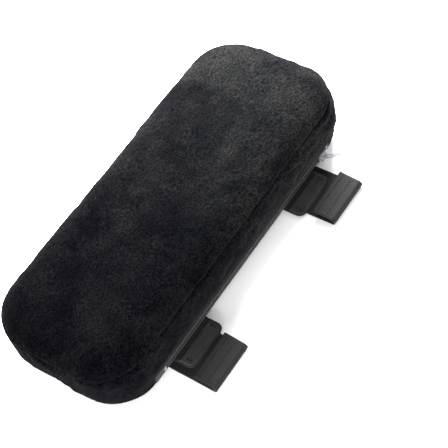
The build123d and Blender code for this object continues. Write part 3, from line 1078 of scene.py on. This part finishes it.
class ARMREST_OT_grip(bpy.types.Operator):
    """Lay the grip patch under the pad: woven backing with rubber dots"""

    bl_idname = "armrest.grip"
    bl_label = "Grip patch"

    def execute(self, context):
        pad = settings("armrest_pad")
        low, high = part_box("grip_patch")
        half_x, half_y, corner = high.x, high.y, 8 * MM
        backing_low = low.z + 1.2 * MM
        rim = []
        for cx, cy, first in ((1, -1, -90), (1, 1, 0), (-1, 1, 90), (-1, -1, 180)):
            for k in range(13):
                a = radians(first + 90 * k / 12)
                rim.append((cx * (half_x - corner), cy * (half_y - corner), cos(a), sin(a)))
        sections = (
            (6.0, backing_low), (0.9, backing_low), (0.25, backing_low + 0.1 * MM),
            (0.0, backing_low + 0.5 * MM), (0.0, high.z - 0.35 * MM),
            (0.3, high.z - 0.05 * MM), (1.0, high.z), (6.0, high.z),
        )
        points = []
        for inset, z in sections:
            r = corner - inset * MM
            points += [(cx + ux * r, cy + uy * r, z) for cx, cy, ux, uy in rim]
        faces = wall(len(sections), len(rim)) + lids(len(sections), len(rim))
        backing = make_piece("grip_backing", points, faces, "grip_cloth", "grip")
        settle(backing, "root", "grip_patch")
        pitch = pad.dot_pitch
        row_step = pitch * cos(pi / 6)
        rows = int((half_y - 3 * MM) / row_step)
        parts = []
        for row in range(-rows, rows + 1):
            shift = pitch / 2 if row % 2 else 0.0
            columns = int((half_x - 3 * MM - shift) / pitch)
            for column in range(-columns - (1 if shift else 0), columns + 1):
                x, y = column * pitch + shift, row * row_step
                # none in the rounded corners
                if abs(x) <= half_x - 4 * MM or abs(y) <= half_y - 4 * MM:
                    parts.append(self.dot(x, y, pad.dot_radius, backing_low, low.z))
        settle(make_piece("grip_dots", *gather(parts), "grip", "grip"), "root")
        return {"FINISHED"}

    @staticmethod
    def dot(x, y, radius, top, bottom):
        """One low rubber dome pointing down."""
        sides, levels = 14, (1.0, 0.93, 0.74, 0.42)
        root = top + 0.1 * MM
        points = []
        for level in levels:
            z = root - (root - bottom) * (1 - level**2.4) ** 0.5
            for k in range(sides):
                a = tau * k / sides
                points.append((x + radius * level * cos(a), y + radius * level * sin(a), z))
        points.append((x, y, bottom))
        faces = [(b, a, d, c) for a, b, c, d in wall(len(levels), sides)]
        last = (len(levels) - 1) * sides
        for k in range(sides):
            faces.append((last + (k + 1) % sides, last + k, len(points) - 1))
        faces.append(tuple(range(sides)))
        return points, faces


class ARMREST_OT_zip(bpy.types.Operator):
    """Fit the zip: woven tapes, two nylon coils, stops, slider and pull"""

    bl_idname = "armrest.zip"
    bl_label = "Zip"

    def execute(self, context):
        z = settings("armrest_zip")
        for name in ("zip_tape_lower", "zip_tape_upper"):
            self.dress(name, "zip_tape", 0.08 * MM)
        for name in ("zip_top_stops", "zip_bottom_stop", "zip_slider", "zip_pull_tab"):
            self.dress(name, "zip_metal", z.edge_bevel)
        end = ZIP_END + 0.4 * MM
        self.end_patch("zip_end_patch_left", (-end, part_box("zip_bottom_stop")[0].x))
        self.end_patch("zip_end_patch_right", (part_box("zip_top_stops")[1].x, end))
        turns = int(2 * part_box("zip_teeth_upper")[1].x / z.coil_pitch)
        for facing, name in ((1, "upper"), (-1, "lower")):
            points, faces = self.coil(facing, turns, z.coil_pitch, z.coil_wire)
            piece = make_piece(f"zip_coil_{name}", points, faces, "zip_coil", "zip_coil")
            settle(piece, "root", f"zip_teeth_{name}")
        return {"FINISHED"}

    @staticmethod
    def end_patch(name, x_range):
        """Tape that closes the gap between the two tapes beyond a stop."""
        half_v, half_w, cells = 2.1 * MM, 0.24 * MM, 12
        section = ((-1, -1), (-1, 1), (-0.4, 1.25), (0.4, 1.25), (1, 1), (1, -1))
        points = [
            ZIP_MIDDLE + (x, 0, 0) + (ZIP_UP * v * half_v + ZIP_OUT * w * half_w)
            for x in np.linspace(*x_range, cells)
            for v, w in section
        ]
        faces = wall(cells, len(section)) + lids(cells, len(section))
        piece = make_piece(name, points, faces, "zip_tape", "zip_tape", smooth=False)
        close_outwards(piece)
        settle(piece, "root")

    @staticmethod
    def dress(name, finish_name, bevel):
        """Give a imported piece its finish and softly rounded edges."""
        node = frame["nodes"][name]
        node.data.materials.clear()
        node.data.materials.append(finish(finish_name))
        weld = node.modifiers.new("weld", "WELD")
        weld.merge_threshold = 0.001 * MM
        edge = node.modifiers.new("edge", "BEVEL")
        edge.width = bevel
        edge.segments = 2
        edge.limit_method = "ANGLE"
        edge.angle_limit = radians(28)

    @staticmethod
    def coil(facing, turns, pitch, wire):
        """One row of the zip: a flattened helix of nylon wire, its heads past the middle."""
        steps, sides = 12, 6
        middle, reach, rise = 0.75 * MM, 1.1 * MM, 0.41 * MM
        first = -turns * pitch / 2 + (0.25 if facing > 0 else 0.75) * pitch
        line = []
        for k in range((turns - 1) * steps + 1):
            a = tau * k / steps
            along = first + pitch * k / steps + 0.16 * pitch * sin(2 * a) / 2
            line.append((along, facing * (middle - reach * cos(a)), rise * sin(a)))
        line = np.array(line)
        points = []
        for at, way in zip(line, unit(np.gradient(line, axis=0))):
            side = unit(np.cross(way, (1.0, 0.0, 0.0)))
            up = np.cross(side, way)
            for s in range(sides):
                b = tau * s / sides
                x, v, w = at + wire * (cos(b) * side + sin(b) * up)
                points.append(ZIP_MIDDLE + (x, 0, 0) + ZIP_UP * v + ZIP_OUT * w)
        return points, wall(len(line), sides) + lids(len(line), sides)


# ---- flat webbing ----
def ribbon(name, path, x_range, thickness, finish_name, start_at=0.0, cells=22):
    """A flat band swept along a path of (y, z) points through its middle, with soft selvedges.

    The cloth's own place, across and along, is kept in the attribute "laid".
    """
    path = np.asarray(path, float)
    left, right = x_range
    way = unit(np.gradient(path, axis=0))
    normal = np.column_stack((-way[:, 1], way[:, 0]))
    along = start_at + lengths_along(path)
    half = thickness / 2
    across = np.linspace(left + 0.9 * half, right - 0.9 * half, cells + 1)
    selvedge = ((0.25, 0.72), (0, 0), (0.25, -0.72))
    section = [(x, half) for x in across]
    section += [(right - back * half, up * half) for back, up in selvedge]
    section += [(x, -half) for x in across[::-1]]
    section += [(left + back * half, -up * half) for back, up in selvedge]
    points, laid = [], []
    last = len(path) - 1
    for k in range(last + 1):
        # the cut ends are a touch thinner than the rest
        thin = 0.78 if k in (0, last) else 1.0
        for x, up in section:
            points.append((x, *(path[k] + normal[k] * up * thin)))
            laid.append((x, along[k], up))
    size = len(section)
    faces = [(a, d, c, b) for a, b, c, d in wall(last + 1, size)]
    for base, turned in ((0, False), (last * size, True)):
        lid = [
            (base + s, base + s + 1, base + 2 * cells + 3 - s, base + 2 * cells + 4 - s)
            for s in range(cells)
        ]
        lid.append(tuple(base + cells + i for i in range(5)))
        lid.append((*(base + (2 * cells + 4 + i) % size for i in range(4)), base))
        faces += [face[::-1] if turned else face for face in lid]
    piece = make_piece(name, points, faces, finish_name, finish_name)
    keep_laid(piece, laid)
    close_outwards(piece)
    return piece


def lane(node):
    """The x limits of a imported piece."""
    low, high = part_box(node)
    return low.x, high.x


def bar_tack(name, node, low_z):
    """A dense row of thread that sews webbing to the base panel, seen from below."""
    low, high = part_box(node)
    pitch = 0.9 * MM
    stitches = int((high.x - low.x) / pitch)
    parts = []
    for k in range(stitches):
        x = low.x + (k + 0.5) * (high.x - low.x) / stitches
        start = (x - pitch * 0.25, low.y, low_z)
        end = (x + pitch * 0.25, high.y, low_z)
        parts.append(capsule(start, end, 0.34 * MM, (0, 0, -0.12 * MM), rings=4))
    core_half = (high.z - low_z) / 2
    path = [(y, low_z + core_half) for y in (low.y + 0.1 * MM, high.y - 0.1 * MM)]
    core = ribbon(name + "_core", path, (low.x, high.x), 2 * core_half, "strap_thread")
    parts.append((list(coords(core)), [tuple(p.vertices) for p in core.data.polygons]))
    bpy.data.objects.remove(core)
    settle(thread_piece(name, parts), "root", node)


class ARMREST_OT_straps(bpy.types.Operator):
    """Sew on both webbing straps, folded back with their hook tape"""

    bl_idname = "armrest.straps"
    bl_label = "Straps"

    def execute(self, context):
        for side in SIDES:
            self.strap(side)
        return {"FINISHED"}

    def strap(self, side):
        split_y = settings("armrest_strap").split_y
        run_low, run_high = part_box(f"strap_{side}_run")
        end_low, end_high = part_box(f"strap_{side}_end")
        x_range = (run_low.x, run_high.x)
        thickness = run_high.z - run_low.z
        middle_z = (run_high.z + run_low.z) / 2
        joint = next(j for j in frame["joints"] if j["name"] == f"strap_{side}_unfold")
        _, fold_y, fold_z = Vector(joint["pos_m"])
        root_y = run_high.y
        # the sewn half, which turns down out of the base panel at its root
        turn = [
            (root_y + 0.35 * MM, PAD_BASE - 0.05 * MM), (root_y + 0.55 * MM, PAD_BASE - 0.6 * MM),
            (root_y + 0.35 * MM, PAD_BASE - 1.25 * MM), (root_y - 0.5 * MM, middle_z + 0.12 * MM),
        ]
        path = turn + [(y, middle_z) for y in np.linspace(root_y - 2.0 * MM, split_y, 40)]
        sewn = ribbon(f"strap_{side}_sewn", path, x_range, thickness, "webbing")
        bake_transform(sewn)
        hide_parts(f"strap_{side}_run")
        # the folded half, round the bend and back
        radius = fold_z - middle_z
        rise = np.arctan2(end_high.z - end_low.z - thickness, end_high.y - end_low.y)
        bend = [
            (fold_y - radius * sin(a), fold_z - radius * cos(a))
            for a in np.linspace(0, pi - rise, 26)
        ]
        way = np.array((cos(rise), sin(rise)))
        top = np.array(bend[-1])
        back = [tuple(top + way * d) for d in np.linspace(1.0 * MM, RETURN_LENGTH, 12)]
        run = [(y, middle_z) for y in np.linspace(split_y, fold_y + 1.0 * MM, 34)]
        folded = ribbon(
            f"strap_{side}_folded", run + bend + back, x_range, thickness, "webbing",
            start_at=lengths_along(path)[-1],
        )
        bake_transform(folded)
        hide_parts(f"strap_{side}_fold", f"strap_{side}_end")
        self.hook_patch(side, top, way)
        self.end_stitches(side, top, way, thickness)
        bar_tack(f"strap_{side}_tack", f"strap_{side}_bar_tack", run_high.z + 0.35 * MM)

    def hook_patch(self, side, top, way):
        """Hook tape sewn under the strap's returned end, with its field of small hooks."""
        pitch = settings("armrest_strap").hook_pitch
        left, right = lane(f"strap_{side}_hook_patch")
        down = np.array((way[1], -way[0]))
        start, end = 2.6 * MM, RETURN_LENGTH - 1.0 * MM
        depth = 0.76 * MM
        path = [tuple(top + way * d + down * depth) for d in np.linspace(start, end, 8)]
        ground = ribbon(
            f"strap_{side}_hook_tape", path, (left, right), 0.32 * MM, "hook", cells=14
        )
        lift = (0, *(down * 0.14 * MM))
        parts = []
        for i in range(int((right - left - 1.6 * MM) / pitch)):
            for k in range(int((end - start - 1.2 * MM) / pitch)):
                x = left + 1.1 * MM + i * pitch
                foot = top + way * (start + 0.9 * MM + k * pitch) + down * (depth + 0.1 * MM)
                tip = (x + 0.1 * MM, *(foot + down * 0.28 * MM + way * 0.24 * MM))
                parts.append(capsule((x, *foot), tip, 0.09 * MM, lift, rings=4, sides=4))
        hooks = make_piece(f"strap_{side}_hooks", *gather(parts), "hook", "hook")
        keep_laid(hooks, coords(hooks))
        settle(ground, f"strap_{side}_return", f"strap_{side}_hook_patch")
        settle(hooks, f"strap_{side}_return")

    def end_stitches(self, side, top, way, thickness):
        """Two rows of stitches through the returned end."""
        left, right = lane(f"strap_{side}_stitching")
        up = np.array((-way[1], way[0]))
        parts = []
        for d in (4.6 * MM, 10.9 * MM):
            at = top + way * d + up * (thickness / 2 - 0.02 * MM)
            parts.append(
                straight_stitches(
                    (left, *at), (right, *at), (0, *up), 20, 2.2 * MM, 0.7 * MM
                )
            )
        piece = thread_piece(f"strap_{side}_stitches", parts)
        settle(piece, f"strap_{side}_return", f"strap_{side}_stitching")


def rounded_sheet(name, low, high, corner, finish_name, fuzz=0.0):
    """A thin sheet in a box, its two corners towards -Y rounded and its edges softened."""
    step = 0.9 * MM
    nx, ny = int((high.x - low.x) / step), int((high.y - low.y) / step)
    middle_x, half_x = (low.x + high.x) / 2, (high.x - low.x) / 2
    rng = np.random.default_rng(settings("armrest_pad").seed + 5)
    points = []
    for sign in (1, -1):
        for r in range(ny + 1):
            from_end = (high.y - low.y) * r / ny
            width = half_x
            if from_end < corner:
                width += np.sqrt(max(0.0, corner**2 - (corner - from_end) ** 2)) - corner
            for c, across in enumerate(np.linspace(-width, width, nx + 1)):
                rim = c in (0, nx) or r in (0, ny)
                z = (low.z + high.z) / 2 + sign * (high.z - low.z) / 2 * (0.45 if rim else 1.0)
                if sign > 0 and not rim and fuzz:
                    z += rng.uniform(-fuzz, fuzz)
                points.append((middle_x + across, low.y + from_end, z))
    row, size = nx + 1, (ny + 1) * (nx + 1)
    faces = []
    for r in range(ny):
        for a in range(r * row, r * row + nx):
            b = a + row
            faces.append((a, a + 1, b + 1, b))
            faces.append((size + a, size + b, size + b + 1, size + a + 1))
    rim = list(range(row)) + [(r + 1) * row + nx for r in range(ny)]
    rim += [ny * row + c for c in range(nx - 1, -1, -1)] + [r * row for r in range(ny - 1, 0, -1)]
    for a, b in zip(rim, rim[1:] + rim[:1]):
        faces.append((b, a, size + a, size + b))
    piece = make_piece(name, points, faces, finish_name, finish_name)
    keep_laid(piece, points)
    close_outwards(piece)
    return piece


class ARMREST_OT_tabs(bpy.types.Operator):
    """Sew the two tabs under the front edge, each with its patch of soft loop pile"""

    bl_idname = "armrest.tabs"
    bl_label = "Tabs"

    def execute(self, context):
        for side in SIDES:
            self.tab(f"tab_{side}")
        return {"FINISHED"}

    @staticmethod
    def tab(body):
        """One tab, its pile, its stitches and its bar tack."""
        low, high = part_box(body)
        root = Vector((high.x, high.y + 0.9 * MM, high.z))
        cloth = rounded_sheet(f"{body}_cloth", low, root, 5 * MM, "tab_fabric")
        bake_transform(cloth)
        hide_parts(body)
        patch_low, patch_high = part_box(f"{body}_loop_patch")
        pile = rounded_sheet(
            f"{body}_pile", patch_low, patch_high, 4 * MM, "loop_pile", fuzz=0.06 * MM
        )
        settle(pile, body, f"{body}_loop_patch")
        rows_low, rows_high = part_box(f"{body}_stitching")
        top_z = patch_high.z - 0.02 * MM
        parts = [
            straight_stitches(
                (at, rows_low.y, top_z), (at, rows_high.y, top_z), (0, 0, 1), 12,
                1.7 * MM, 0.6 * MM,
            )
            for at in (rows_low.x + 0.25 * MM, rows_high.x - 0.25 * MM)
        ]
        settle(thread_piece(f"{body}_stitches", parts), body, f"{body}_stitching")
        bar_tack(f"{body}_tack", f"{body}_bar_tack", low.z + 0.35 * MM)


FLOOR_REACH = 6.0
# each softbox: where it stands, what it points at, its side, and the setting of its power
SOFTBOXES = {
    "key_softbox": ((-0.10, -0.15, 1.1), (0, 0, 0), 0.9, "key_light"),
    "far_softbox": ((0.31, 0.13, 0.25), (0.10, 0, 0.05), 0.24, "far_light"),
    "near_softbox": ((-0.50, -0.26, 0.09), (-0.12, 0, 0.03), 0.20, "near_light"),
    "back_softbox": ((-0.06, 0.50, 0.10), (-0.02, 0, 0.04), 0.26, "back_light"),
}
CAMERA_AT = (-0.2657, -0.4022, 0.6320)
CAMERA_RIGHT = (0.559, -0.796, -0.232)
CAMERA_FORWARD = (0.359, 0.485, -0.798)


class ARMREST_OT_stage(bpy.types.Operator):
    """Set out the pale floor, the soft studio light and the camera"""

    bl_idname = "armrest.stage"
    bl_label = "Stage"

    def execute(self, context):
        stage = settings("armrest_stage")
        scene = context.scene
        scene.view_settings.view_transform = "Standard"
        corners = [
            (x * FLOOR_REACH, y * FLOOR_REACH, 0) for x, y in ((-1, -1), (1, -1), (1, 1), (-1, 1))
        ]
        make_piece("floor", corners, [(0, 1, 2, 3)], "floor", smooth=False)
        scene.world = bpy.data.worlds.new("studio")
        scene.world.use_nodes = True
        sky = scene.world.node_tree.nodes["Background"]
        sky.inputs["Color"].default_value = (1.0, 1.0, 1.0, 1.0)
        sky.inputs["Strength"].default_value = stage.sky_strength
        for name, (place, aim, size, power_name) in SOFTBOXES.items():
            lamp = bpy.data.lights.new(name, "AREA")
            lamp.shape = "SQUARE"
            lamp.size = size
            lamp.energy = getattr(stage, power_name)
            softbox = bpy.data.objects.new(name, lamp)
            softbox.location = place
            way = Vector(aim) - Vector(place)
            softbox.rotation_euler = way.to_track_quat("-Z", "Y").to_euler()
            scene.collection.objects.link(softbox)
        lens = bpy.data.cameras.new("camera")
        lens.sensor_width = 36.0
        lens.lens = stage.lens
        lens.clip_start, lens.clip_end = 0.02, 50.0
        camera = bpy.data.objects.new("camera", lens)
        back = -Vector(CAMERA_FORWARD).normalized()
        up = back.cross(Vector(CAMERA_RIGHT).normalized()).normalized()
        turn = Matrix((up.cross(back), up, back)).transposed().to_4x4()
        camera.matrix_world = Matrix.Translation(CAMERA_AT) @ turn
        scene.collection.objects.link(camera)
        scene.camera = camera
        return {"FINISHED"}


class ARMREST_PT_panel(bpy.types.Panel):
    """Lists the steps that dress the armrest pad"""

    bl_idname = "ARMREST_PT_panel"
    bl_label = "Armrest pad"
    bl_space_type = "VIEW_3D"
    bl_region_type = "UI"
    bl_category = "Armrest pad"

    def draw(self, context):
        for operator in OPERATORS:
            self.layout.operator(operator.bl_idname)
        for group in GROUPS:
            box = self.layout.box()
            values = settings(group)
            for name in values.bl_rna.properties.keys():
                if name not in ("rna_type", "name"):
                    box.prop(values, name)


OPERATORS = (
    ARMREST_OT_cover,
    ARMREST_OT_foam,
    ARMREST_OT_grip,
    ARMREST_OT_zip,
    ARMREST_OT_straps,
    ARMREST_OT_tabs,
    ARMREST_OT_stage,
)
GROUPS = {
    "armrest_pad": PadSettings,
    "armrest_strap": StrapSettings,
    "armrest_zip": ZipSettings,
    "armrest_stage": StageSettings,
}


def register():
    for group in GROUPS.values():
        bpy.utils.register_class(group)
    for name, group in GROUPS.items():
        setattr(bpy.types.Scene, name, PointerProperty(type=group))
    for made in (*OPERATORS, ARMREST_PT_panel):
        bpy.utils.register_class(made)


def unregister():
    for made in (ARMREST_PT_panel, *reversed(OPERATORS)):
        bpy.utils.unregister_class(made)
    for name, group in GROUPS.items():
        delattr(bpy.types.Scene, name)
        bpy.utils.unregister_class(group)


def main():
    register()
    bpy.ops.armrest.cover()
    bpy.ops.armrest.foam()
    bpy.ops.armrest.grip()
    bpy.ops.armrest.zip()
    bpy.ops.armrest.straps()
    bpy.ops.armrest.tabs()
    bpy.ops.armrest.stage()


if __name__ == "__main__":
    main()
